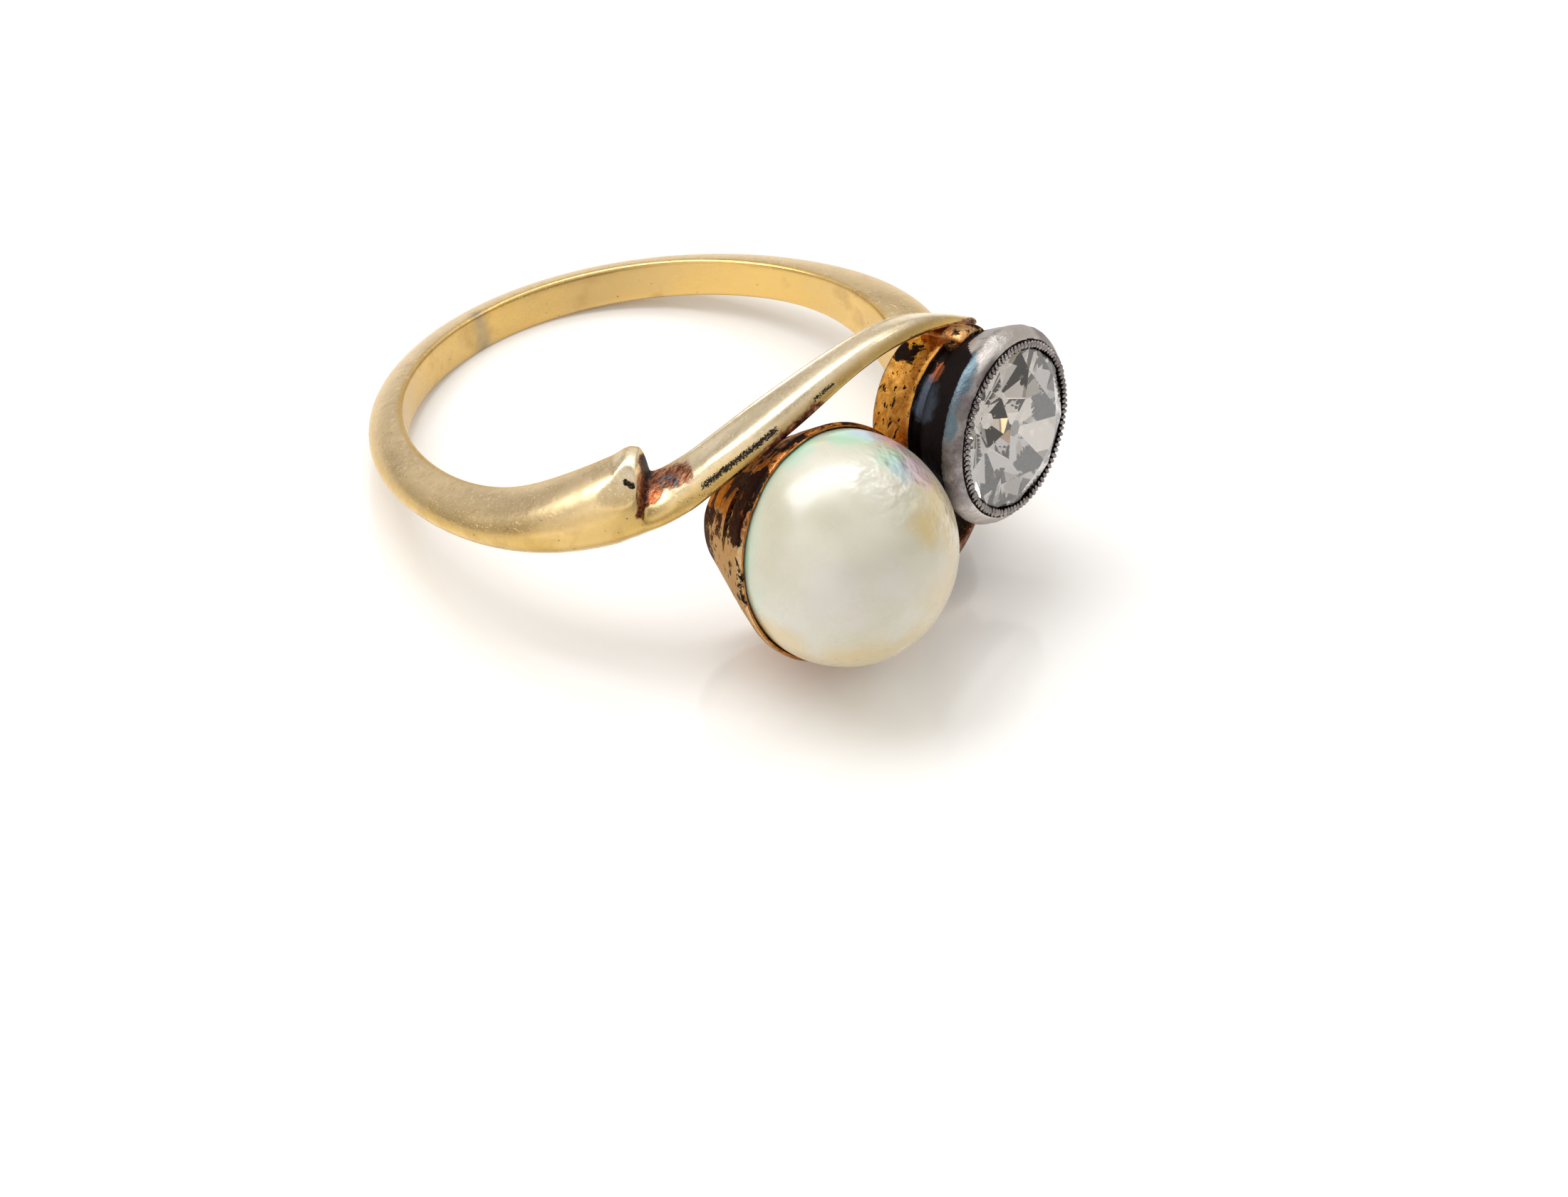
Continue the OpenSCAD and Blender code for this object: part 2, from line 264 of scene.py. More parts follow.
def look_at_ring():
    """Camera at the height and turn that the ring's ellipse and both settings gave."""
    right = Vector((0.6699, -0.7345, -0.1082)).normalized()
    up = Vector((0.4406, 0.2760, 0.8542))
    towards = right.cross(up).normalized()
    up = towards.cross(right)
    distance, to_right, upwards = 180, 4.479, -6.924
    place = distance * towards + to_right * right + upwards * up
    data = bpy.data.cameras.new("eye")
    data.lens = 121.15
    data.sensor_width = 36
    data.sensor_fit = "HORIZONTAL"
    data.clip_start = 0.01
    data.clip_end = 10
    eye = bpy.data.objects.new("eye", data)
    bpy.context.collection.objects.link(eye)
    turn = LYING.to_3x3()
    axes = [turn @ right, turn @ up, turn @ towards]
    pose = Matrix(axes).transposed().to_4x4()
    pose.translation = 0.001 * (LYING @ place)
    eye.matrix_world = pose
    bpy.context.scene.camera = eye
    return axes


EYE_RIGHT, EYE_UP, EYE_TOWARDS = look_at_ring()


def soft_light(name, place, wide, high, watts, roll=0):
    """Soft box that faces the ring."""
    data = bpy.data.lights.new(name, "AREA")
    data.shape = "RECTANGLE"
    data.size, data.size_y = wide, high
    data.energy = watts
    lamp = bpy.data.objects.new(name, data)
    bpy.context.collection.objects.link(lamp)
    lamp.location = place
    aim = (-Vector(place)).to_track_quat("-Z", "Y")
    lamp.rotation_euler = (aim.to_matrix().to_4x4() @ turned(roll, "Z")).to_euler()
    lamp.visible_camera = False


def studio_world():
    """White tent with a darker band above the table, so that the metal has something to mirror."""
    world = bpy.data.worlds.new("studio")
    bpy.context.scene.world = world
    world.use_nodes = True
    n = Nodes(world.node_tree)
    tent = n.tree.nodes["Background"]
    towards = n.node("ShaderNodeTexCoord").outputs["Generated"]
    split = n.node("ShaderNodeSeparateXYZ")
    n.join(towards, split.inputs["Vector"])
    stops = [(0.0, (0.90, 0.87, 0.82)), (0.08, (0.84, 0.81, 0.76)), (0.17, (0.49, 0.46, 0.42)),
             (0.36, (0.52, 0.495, 0.46)), (0.46, (0.58, 0.55, 0.50)), (0.62, (0.80, 0.79, 0.775)),
             (1.0, (0.85, 0.85, 0.85))]
    n.join(n.ramp(split.outputs["Z"], stops), tent.inputs["Color"])
    # darker above the camera, brighter opposite and to the left
    strength = 1.0
    for side, start, end, level in (((-0.54, -0.18, 0.82), 0.91, 0.985, 0.50),
                                    ((0.60, 0.56, 0.56), 0.72, 0.97, 1.25),
                                    ((-0.90, -0.15, 0.40), 0.80, 0.97, 2.0)):
        facing = n.node("ShaderNodeVectorMath", operation="DOT_PRODUCT")
        facing.inputs[1].default_value = Vector(side).normalized()
        n.join(towards, facing.inputs[0])
        strength = n.times(strength, n.between(facing.outputs["Value"], start, end, 1.0, level))
    n.join(strength, tent.inputs["Strength"])


studio_world()
soft_light("overhead_softbox", (-0.04, 0.15, 0.32), wide=0.36, high=0.20, watts=0.78, roll=-48)
soft_light("strip_light", (0.14, 0.08, 0.30), wide=0.16, high=0.022, watts=0.075)
soft_light("right_window", (0.20, -0.10, 0.29), wide=0.09, high=0.06, watts=0.045)
bpy.context.scene.view_settings.view_transform = "Standard"

# ---------- modelling helpers


def nothing_selected():
    if bpy.context.object and bpy.context.object.mode != "OBJECT":
        bpy.ops.object.mode_set(mode="OBJECT")
    bpy.ops.object.select_all(action="DESELECT")


def work_on(piece):
    nothing_selected()
    piece.select_set(True)
    bpy.context.view_layer.objects.active = piece


def added(name, operator, **sizes):
    """The piece that an operator adds, with its name."""
    nothing_selected()
    operator(**sizes)
    piece = bpy.context.object
    piece.name = name
    piece.data.name = name
    return piece


def modified(piece, kind, **values):
    """Adds a modifier and applies it."""
    work_on(piece)
    step = piece.modifiers.new(kind.lower(), kind)
    for key, value in values.items():
        setattr(step, key, value)
    bpy.ops.object.modifier_apply(modifier=step.name)


def open_mesh(piece):
    """Edit mode, with all of the piece selected."""
    work_on(piece)
    bpy.ops.object.mode_set(mode="EDIT")
    bpy.ops.mesh.select_all(action="SELECT")


def close_mesh():
    bpy.ops.object.mode_set(mode="OBJECT")


def tidy_normals(piece, merge=1e-4):
    open_mesh(piece)
    bpy.ops.mesh.remove_doubles(threshold=merge)
    bpy.ops.mesh.normals_make_consistent(inside=False)
    close_mesh()


def without_slivers(piece, size=0.004):
    """Takes away the thin faces that cuts and bevels leave."""
    open_mesh(piece)
    bpy.ops.mesh.remove_doubles(threshold=size)
    bpy.ops.mesh.dissolve_degenerate(threshold=size)
    bpy.ops.mesh.quads_convert_to_tris()
    bpy.ops.mesh.remove_doubles(threshold=size)
    bpy.ops.mesh.dissolve_degenerate(threshold=size)
    bpy.ops.mesh.normals_make_consistent(inside=False)
    close_mesh()


def smooth(piece, degrees=None):
    """Smooth shading, but for edges sharper than this."""
    work_on(piece)
    if degrees is None:
        bpy.ops.object.shade_smooth()
    else:
        bpy.ops.object.shade_smooth_by_angle(angle=math.radians(degrees))


def marked(piece, **marks):
    """Writes 0 to 1 at each vertex under each name: a level, or what a function gives for its place."""
    for name, level in marks.items():
        layer = piece.data.attributes.new(name, "FLOAT", "POINT")
        layer.data.foreach_set("value", [clamped(level(v.co) if callable(level) else level)
                                         for v in piece.data.vertices])


def lathed(name, profile, steps):
    """Turns a closed profile of (radius, height) about Z, as on a lathe."""
    piece = added(name, bpy.ops.mesh.primitive_circle_add, vertices=len(profile))
    bm = bmesh.new()
    points = [bm.verts.new((r, 0, z)) for r, z in profile]
    for a, b in zip(points, points[1:] + points[:1]):
        bm.edges.new((a, b))
    bm.to_mesh(piece.data)
    bm.free()
    open_mesh(piece)
    bpy.ops.mesh.spin(steps=steps, angle=2 * math.pi, center=(0, 0, 0), axis=(0, 0, 1), use_auto_merge=True)
    close_mesh()
    tidy_normals(piece)
    return piece


def placed(piece, seat, node, material):
    """Lays a finished piece where it belongs in the ring on the table."""
    piece.data.transform(ON_TABLE @ seat)
    piece.data.update()
    piece.data.materials.clear()
    piece.data.materials.append(material)
    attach(piece, "root")
    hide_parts(node)


def from_axis(p):
    return math.hypot(p.x, p.y)


def fading(d):
    """1 at 0, falling softly to 0 at 1."""
    return (1 - d * d) ** 1.5 if d < 1 else 0.0


def near(point, centre, reach):
    """1 at centre, falling softly to 0 at reach."""
    return fading((point - Vector(centre)).length / reach)


def along(point, path, reach):
    """1 on a path of points, falling softly to 0 at reach beside it."""
    best = math.inf
    for a, b in zip(path, path[1:]):
        a, b = Vector(a), Vector(b)
        t = clamped((point - a).dot(b - a) / (b - a).length_squared)
        best = min(best, (point - a.lerp(b, t)).length)
    return fading(best / reach)


def seen(path, eye):
    """A path as it is seen, square to the line of sight."""
    return [Vector(q) - eye * eye.dot(Vector(q)) for q in path]


def eye_from(seat):
    """Line of sight, in the frame of a setting."""
    return ((LYING @ seat).to_3x3().inverted() @ EYE_TOWARDS).normalized()


# ---------- materials


def worn_gold():
    """Pale yellow gold: worn to a soft, slightly rough finish, fine scratches, small pits, tarnish where it
    is marked; a paler upper band as painted sheen, painted highlights on the arms and painted shade under the
    stones.
    """
    p = Paint("worn_gold")
    broad = p.noise(0.35, 3)
    cloud = p.noise(1.3, 4, 0.6)
    fine = p.noise(4.0, 5, 0.6)
    grain = p.noise(5.0, 6, 0.65)
    yellow = p.blend(p.between(broad, 0.35, 0.68), (0.64, 0.43, 0.135), (0.71, 0.50, 0.20))
    yellow = p.blend(p.between(cloud, 0.46, 0.62, 0, 0.6), yellow, (0.54, 0.345, 0.105))
    # the pale upper tone is painted sheen: the gold as lit by the light above, laid over the deeper yellow of
    # the lower band
    painted_sheen_tone = p.blend(p.between(cloud, 0.35, 0.65), (0.82, 0.64, 0.39), (0.76, 0.59, 0.35))
    painted_sheen_tone = p.blend(p.between(fine, 0.50, 0.70, 0, 0.6), painted_sheen_tone, (0.62, 0.46, 0.26))
    p.colour = p.blend(p.ragged("upper", cloud, 0.6, 0.0, 1.0), yellow, painted_sheen_tone)
    inner = p.blend(p.between(broad, 0.3, 0.7), (0.75, 0.50, 0.165), (0.70, 0.49, 0.20))
    inner = p.blend(p.between(p.noise(0.55, 3, 0.6), 0.54, 0.70, 0, 0.6), inner, (0.52, 0.33, 0.12))
    p.coat(p.mark("inside"), inner)
    # painted highlight: paler gold on the arms' upper faces and crest, and on the nose's top
    painted_highlight_tone = p.blend(p.between(fine, 0.35, 0.7), (0.88, 0.77, 0.57), (0.80, 0.67, 0.46))
    p.coat(p.mark("pale_arm"), painted_highlight_tone)
    # small dark specks
    specks = p.times(p.between(p.cells(2.8), 0.05, 0.10, 1, 0), p.between(p.noise(0.9, 2), 0.45, 0.57))
    p.coat(specks, (0.20, 0.11, 0.035))
    # tarnish: red and copper, then a blue-grey bloom, soot with painted shade where the right arm passes
    # under the stones, the pit by the notch and the shank's seam
    streaky = p.noise(3.6, 5, 0.65, (1.0, 2.6, 1.0, 0, 0, 42))
    loose = p.plus(p.centred(grain, 0.9), p.centred(streaky, 1.1))
    red = p.between(p.plus(p.mark("red"), loose), 0.30, 0.72)
    red_colour = p.ramp(streaky, [(0.36, (0.045, 0.012, 0.008)), (0.48, (0.17, 0.05, 0.026)),
                                  (0.58, (0.36, 0.15, 0.075)), (0.70, (0.62, 0.38, 0.20))])
    glow = p.ramp(grain, [(0.42, (0.20, 0.045, 0.018)), (0.53, (0.50, 0.15, 0.05)),
                          (0.66, (0.78, 0.42, 0.20))])
    red_colour = p.blend(p.ragged("ember", grain, 2.2, 0.25, 0.95), red_colour, glow)
    p.coat(red, red_colour)
    p.coat(p.ragged("bloom", p.noise(7.5, 4, 0.6), 2.6, 0.62, 0.80), (0.13, 0.16, 0.20))
    hatch = p.noise(13, 3, 0.6, (0.6, 2.0, 1.4, 0, 0, 20))
    # black: soot and streaks, and painted shade under the stones
    soot = p.ragged("soot", hatch, 1.9, 0.40, 0.60)
    p.coat(soot, (0.016, 0.011, 0.008))
    p.coat(p.ragged("pit", hatch, 0.7, 0.30, 0.50), (0.022, 0.014, 0.009))
    seam = p.times(p.mark("seam"), p.between(fine, 0.25, 0.7, 0.55, 0.95))
    p.coat(seam, (0.40, 0.32, 0.20))
    # scratches: two directions, some long, some short
    scratch_a = p.between(p.noise(2.2, 4, 0.7, (1, 16, 10, 20, 10, 35)), 0.61, 0.70)
    scratch_b = p.between(p.noise(1.8, 4, 0.7, (14, 1, 8, 5, 40, -15)), 0.62, 0.71)
    scratches = p.plus(scratch_a, scratch_b)
    p.coat(p.times(scratches, 0.5), (0.94, 0.84, 0.64))
    dirt_and_shade = p.math("MAXIMUM", red, soot)
    rough = p.plus(p.between(broad, 0.3, 0.7, 0.22, 0.31), p.times(scratches, 0.05))
    rough = p.plus(rough, p.times(dirt_and_shade, 0.22))
    normal = p.bump(p.noise(0.8, 3), 0.022)
    normal = p.bump(scratches, 0.0028, normal)
    relief = p.minus(grain, p.times(p.plus(specks, dirt_and_shade), 2.0))
    normal = p.bump(relief, 0.0022, normal)
    return p.set(Base_Color=p.colour, Metallic=p.minus(1.0, p.times(soot, 0.7)),
                 Roughness=rough, Normal=normal, Specular_IOR_Level=0.25)


def copper_mottle(name, clean, brown, bright):
    """Gold gone copper, brown and black where no cloth reaches it, and black as painted shade where it is
    marked. Black follows the mark "soot".
    """
    p = Paint(name)
    grain = p.noise(2.6, 6, 0.68, None, 0.6)
    patch = p.noise(1.1, 5, 0.65, None, 0.5)
    fine = p.noise(7.0, 5, 0.6)
    halfway = tuple(0.5 * (a + b) for a, b in zip(brown, clean))
    p.colour = p.ramp(grain, [(0.33, brown), (0.47, halfway), (0.56, clean), (0.72, bright)])
    bare = p.blend(fine, (0.52, 0.33, 0.15), (0.74, 0.54, 0.32))
    p.coat(p.ragged("bare", patch, 1.4, 0.35, 0.75), bare)
    # black: soot, with painted shade where the mark carries it
    level = p.plus(p.plus(p.mark("soot"), p.centred(patch, 1.9)), p.centred(grain, 1.0))
    dark = p.between(level, 0.42, 0.56)
    p.coat(dark, (0.013, 0.009, 0.008))
    p.coat(p.ragged("rust", grain, 1.6, 0.40, 0.62), (0.40, 0.11, 0.045))
    bloom = p.ragged("bloom", p.noise(1.6, 4, 0.6), 1.4, 0.35, 0.90, 0.85)
    p.coat(bloom, (0.12, 0.145, 0.20))
    long_pits = p.noise(1.9, 3, 0.6, (2.5, 2.5, 0.9))
    pits = p.times(p.between(long_pits, 0.60, 0.64), p.mark("pitted"))
    p.coat(pits, (0.02, 0.012, 0.010))
    rough = p.plus(p.between(grain, 0.3, 0.7, 0.24, 0.40), p.times(dark, 0.10))
    height = p.minus(grain, p.times(p.plus(pits, dark), 0.8))
    normal = p.bump(height, 0.045)
    normal = p.bump(fine, 0.006, normal)
    return p.set(Base_Color=p.colour, Metallic=p.minus(1.0, p.times(dark, 0.1)),
                 Roughness=rough, Normal=normal, Specular_IOR_Level=0.15, Specular_Tint=(0.55, 0.40, 0.28))


def old_silver():
    """Silver with a lilac-grey skin, teal where it is marked, painted glints and highlights where marked,
    black on its outer side, and black as painted shade in its corners.
    """
    p = Paint("old_silver")
    cloud = p.noise(1.3, 4, 0.6)
    fine = p.noise(6.0, 5, 0.65)
    p.colour = p.ramp(cloud, [(0.32, (0.14, 0.118, 0.120)), (0.50, (0.255, 0.223, 0.222)),
                              (0.66, (0.43, 0.40, 0.39))])
    brushed = p.noise(2.4, 4, 0.7, (1, 9, 4, 30, 20, 0))
    p.coat(p.between(brushed, 0.50, 0.66, 0, 0.55), (0.20, 0.165, 0.16))
    p.coat(p.between(fine, 0.54, 0.70, 0, 0.6), (0.10, 0.08, 0.078))
    # painted glint and highlights, where marked
    p.coat(p.between(p.mark("bright"), 0.1, 0.9, 0, 0.8), (0.86, 0.80, 0.75))
    p.coat(p.ragged("teal", cloud, 2.4, 0.35, 0.85, 0.9), (0.105, 0.168, 0.203))
    rust = p.times(p.between(p.noise(2.4, 3), 0.64, 0.72, 0, 0.8), p.mark("bright"))
    p.coat(rust, (0.62, 0.36, 0.22))
    # black on the outer side, and painted shade in the seat and the furrow
    soot = p.ragged("soot", fine, 1.0, 0.40, 0.65)
    p.coat(soot, (0.014, 0.011, 0.011))
    bloom = p.ragged("bloom", p.noise(1.6, 4, 0.6), 1.2, 0.30, 0.90, 0.62)
    p.coat(bloom, (0.105, 0.135, 0.185))
    p.coat(p.ragged("blotch", fine, 1.4, 0.40, 0.70, 0.8), (0.40, 0.14, 0.06))
    rough = p.plus(p.between(cloud, 0.3, 0.7, 0.36, 0.25), p.times(soot, 0.2))
    normal = p.bump(p.noise(2.5, 5, 0.6), 0.045)
    normal = p.bump(brushed, 0.014, normal)
    return p.set(Base_Color=p.colour, Metallic=p.minus(1.0, p.times(soot, 0.1)),
                 Roughness=rough, Normal=normal, Specular_IOR_Level=0.15, Specular_Tint=(0.55, 0.54, 0.55))


def nacre():
    """Cream-grey pearl with green, blue and rose orient, a golden side and soft growth marks."""
    p = Paint("nacre")
    cloud = p.noise(0.32, 3, 0.5)
    drift = p.noise(0.8, 3, 0.5, None, 0.25)
    p.colour = p.ramp(cloud, [(0.32, (0.56, 0.535, 0.40)), (0.50, (0.62, 0.595, 0.475)),
                              (0.68, (0.66, 0.635, 0.55))])
    for name, tint, share in (("milky", (0.66, 0.62, 0.57), 0.8), ("golden", (0.64, 0.47, 0.17), 0.75),
                              ("green", (0.33, 0.64, 0.47), 0.85), ("blue", (0.28, 0.45, 0.65), 0.80),
                              ("rose", (0.68, 0.44, 0.56), 0.70)):
        p.coat(p.ragged(name, drift, 0.9, 0.10, 0.85, share), tint)
    specks = p.times(p.between(p.cells(0.8), 0.012, 0.028, 1, 0), p.between(p.noise(0.7, 1), 0.60, 0.66))
    p.coat(specks, (0.12, 0.09, 0.06))
    normal = p.bump(p.noise(0.55, 2, 0.4), 0.050)
    crinkle = p.times(p.noise(1.5, 2, 0.5, (1, 1, 1.6)), p.mark("crinkled"))
    normal = p.bump(crinkle, 0.22, normal)
    return p.set(Base_Color=p.colour, Roughness=p.between(drift, 0.3, 0.7, 0.24, 0.34),
                 Normal=p.bump(p.noise(3.2, 3), 0.0006, normal), Coat_Normal=normal,
                 Subsurface_Weight=0.20, Subsurface_Scale=0.0005, Subsurface_Radius=(1.0, 0.9, 0.75),
                 Coat_Weight=1.0, Coat_Roughness=0.27, Coat_IOR=1.85)


def old_cut_diamond():
    """Clear, faintly warm stone with a little dust on its facets."""
    p = Paint("old_cut_diamond")
    dust = p.between(p.noise(1.4, 4, 0.6), 0.52, 0.75, 0.0, 0.035)
    return p.set(Base_Color=(0.57, 0.535, 0.505), Roughness=dust, IOR=2.417, Transmission_Weight=1.0,
                 Normal=p.bump(p.noise(2.0, 2), 0.0004))


def white_table():
    """Glossy white acrylic, glowing faintly warm: painted light that lifts the shade under the ring."""
    p = Paint("white_table")
    haze = p.noise(0.02, 2)
    colour = p.blend(haze, (0.88, 0.88, 0.885), (0.90, 0.90, 0.90))
    return p.set(Base_Color=colour, Roughness=0.10, IOR=1.6,
                 Emission_Color=(1.0, 0.86, 0.66), Emission_Strength=0.09)


GOLD = worn_gold()
CUP_COPPER = copper_mottle("cup_copper", clean=(0.60, 0.25, 0.065), brown=(0.26, 0.07, 0.02),
                           bright=(0.80, 0.50, 0.22))
GALLERY_GOLD = copper_mottle("gallery_gold", clean=(0.78, 0.39, 0.08), brown=(0.46, 0.18, 0.032),
                             bright=(0.88, 0.56, 0.19))
SILVER = old_silver()
PEARL = nacre()
DIAMOND = old_cut_diamond()

# ---------- the shank and its two arms


def stations_between():
    """The stations at close steps on a smooth curve that never overshoots, finer at the notch."""
    def grade(i, c):
        return (STATIONS[i + 1][c] - STATIONS[i][c]) / (STATIONS[i + 1][0] - STATIONS[i][0])

    def slope(i, c):
        if i == 0:
            return 0.0
        if i == len(STATIONS) - 1:
            return grade(i - 1, c)
        a, b = grade(i - 1, c), grade(i, c)
        return 0.0 if a * b <= 0 else 2 * a * b / (a + b)

    rows = []
    for i in range(len(STATIONS) - 1):
        start, end = STATIONS[i], STATIONS[i + 1]
        width = end[0] - start[0]
        step = 1.6
        if NOTCH_FROM <= start[0] < ARM_FROM:
            step = 0.3 if start[0] < NOTCH_TO else 0.9
        count = math.ceil(width / step)
        for k in range(count):
            f = k / count
            rows.append([start[c] * (1 + 2 * f) * (1 - f) ** 2 + slope(i, c) * width * f * (1 - f) ** 2
                         + end[c] * f * f * (3 - 2 * f) + slope(i + 1, c) * width * f * f * (f - 1)
                         for c in range(8)])
    rows.append(list(STATIONS[-1]))
    return eased(rows)


def eased(rows):
    """Takes the last unevenness out of the curves, but leaves the notch as sharp as it is."""
    for _ in range(EASING_PASSES):
        before = [list(r) for r in rows]
        for i in range(1, len(rows) - 1):
            a, b, c = before[i - 1], before[i], before[i + 1]
            if NOTCH_FROM - 1 < b[0] < SHARP_TO:
                continue
            w = (b[0] - a[0]) / (c[0] - a[0])
            for col in range(1, 8):
                rows[i][col] = 0.5 * b[col] + 0.5 * ((1 - w) * a[col] + w * c[col])
    return rows


def section(row):
    """Outline of the shank at one place, as distance from the finger's axis and height."""
    base, thick, top, low, ridge, full_top, full_low = (FINGER_R + row[1], *row[2:8])
    soft = min(0.13, 0.3 * thick, 0.25 * (top - low))

    def corner(full):
        """Degrees at which a flank's curve meets the soft inner edge."""
        return math.degrees(math.acos(min(1, (1.4 * soft / thick) ** (full / 2))))

    tall = top - low
    points = [(base, low + soft + (tall - 2 * soft) * k / 3) for k in range(4)]
    softening = [(base + soft - soft * math.cos(a), soft * math.sin(a) - soft)
                 for a in (math.radians(30), math.radians(60), math.radians(90))]
    points += [(r, top + z) for r, z in softening]
    # along an arm, the upper flank turns into a slope up to a crest and one down to the rim
    edge = (base + 1.4 * soft, top - 0.05 * tall)
    crest = (base + 0.75 * thick, top + 0.06 * tall)
    rim = (base + thick, ridge)
    crested = 0.9 * clamped(min(row[0] - 138, 204 - row[0]) / 8)
    flank = []
    for k in range(FLANK + 1):
        a = math.radians(corner(full_top) * (1 - k / FLANK))
        r = base + thick * math.cos(a) ** (2 / full_top)
        z = ridge + (top - ridge) * math.sin(a) ** (2 / full_top)
        t = 2 * k / FLANK
        start, end, f = (edge, crest, 1 - (1 - t) ** 1.25) if t < 1 else (crest, rim, (t - 1) ** 1.25)
        swell = 0.07 * thick * math.sin(math.pi * f) if t >= 1 else 0.02 * math.sin(math.pi * f)
        flank.append((r + crested * (start[0] + f * (end[0] - start[0]) + 0.6 * swell - r),
                      z + crested * (start[1] + f * (end[1] - start[1]) + 0.8 * swell - z)))
    for _ in range(CREST_PASSES):
        flank[1:-1] = [tuple(b + crested * ((a + 2 * b + c) / 4 - b) for a, b, c in zip(*three))
                       for three in zip(flank, flank[1:], flank[2:])]
    points += flank
    for k in range(1, FLANK + 1):
        a = math.radians(corner(full_low) * k / FLANK)
        points.append((base + thick * math.cos(a) ** (2 / full_low),
                       ridge + (low - ridge) * math.sin(a) ** (2 / full_low)))
    points += [(r, low - z) for r, z in reversed(softening)]
    return points


def hump(angle, middle, spread):
    """1 at the middle angle, falling softly to both sides."""
    return math.exp(-((angle - middle) / spread) ** 2)


def right_bulge(angle):
    """How much further out the right arm stands than the left one."""
    return 1.1 * hump(angle, 156, 20)


def turned_over(p):
    """The same place on the ring's other half."""
    return Vector((-p.x, p.y, -p.z))


def around(r, z, angle, right):
    """A section's point in the ring; the notch slants, and the right half is the left one turned over."""
    angle -= (r - FINGER_R) * hump(angle, 133.5, 4.5)
    if right:
        r += right_bulge(angle)
    a = math.radians(90 + angle)
    place = Vector((r * math.cos(a), r * math.sin(a), z))
    return turned_over(place) if right else place


def model_shank():
    """One skin from the left arm's tip, around the back, to the right arm's tip."""
    rows = stations_between()
    rings = [[around(r, z, row[0], False) for r, z in section(row)] for row in reversed(rows[1:])]
    count = len(rings[0])
    # turned over, the section runs the other way round; it starts at the same inner corner
    order = [(3 - k) % count for k in range(count)]
    for row in rows:
        points = section(row)
        rings.append([around(*points[k], row[0], True) for k in order])
    shank = added("shank", bpy.ops.mesh.primitive_circle_add, vertices=count)
    for v, place in zip(shank.data.vertices, rings[0]):
        v.co = place
    open_mesh(shank)
    bm = bmesh.from_edit_mesh(shank.data)
    latest = list(bm.verts)
    for ring in rings[1:]:
        where = {tuple(round(c, 6) for c in v.co): k for k, v in enumerate(latest)}
        bpy.ops.mesh.extrude_edges_move()
        bm = bmesh.from_edit_mesh(shank.data)
        fresh = [None] * count
        for v in bm.verts:
            if v.select:
                fresh[where[tuple(round(c, 6) for c in v.co)]] = v
        for v, place in zip(fresh, ring):
            v.co = place
        latest = fresh
    bmesh.update_edit_mesh(shank.data)
    bpy.ops.mesh.select_all(action="DESELECT")
    bpy.ops.mesh.select_non_manifold()
    bpy.ops.mesh.edge_face_add()
    close_mesh()
    tidy_normals(shank, 1e-5)
    modified(shank, "SUBSURF", levels=1)
    file_flats(shank)
    return shank


def back_angle(p):
    """Degrees around the finger from the back of the ring, towards the left shoulder first."""
    return (math.degrees(math.atan2(p.y, p.x)) - 90) % 360


def file_flats(shank):
    """Files the flat face beside each notch, and lets the lowest places wear flat on the table."""
    facing = Vector((-0.652, -0.41, 0.639)).normalized()
    reach = facing.dot(Vector((-8.18, -5.98, 1.82))) - WORN_BY
    upright = LYING.to_3x3().row[2].z
    for v in shank.data.vertices:
        right = v.co.x > 0
        p = turned_over(v.co) if right else Vector(v.co)
        if FACE_FROM < back_angle(p) < FACE_TO:
            proud = facing.dot(p) - reach
            if proud > 0:
                p -= facing * proud
                v.co = turned_over(p) if right else p
        low = (LYING @ v.co).z
        if low < 0:
            v.co.z -= low / upright
    shank.data.update()


def station_at(angle):
    """The shank's measures at an angle from the back, in the order of STATIONS."""
    for one, two in zip(STATIONS, STATIONS[1:]):
        if one[0] <= angle <= two[0]:
            f = (angle - one[0]) / (two[0] - one[0])
            return [a + f * (b - a) for a, b in zip(one, two)]
    return list(STATIONS[-1])


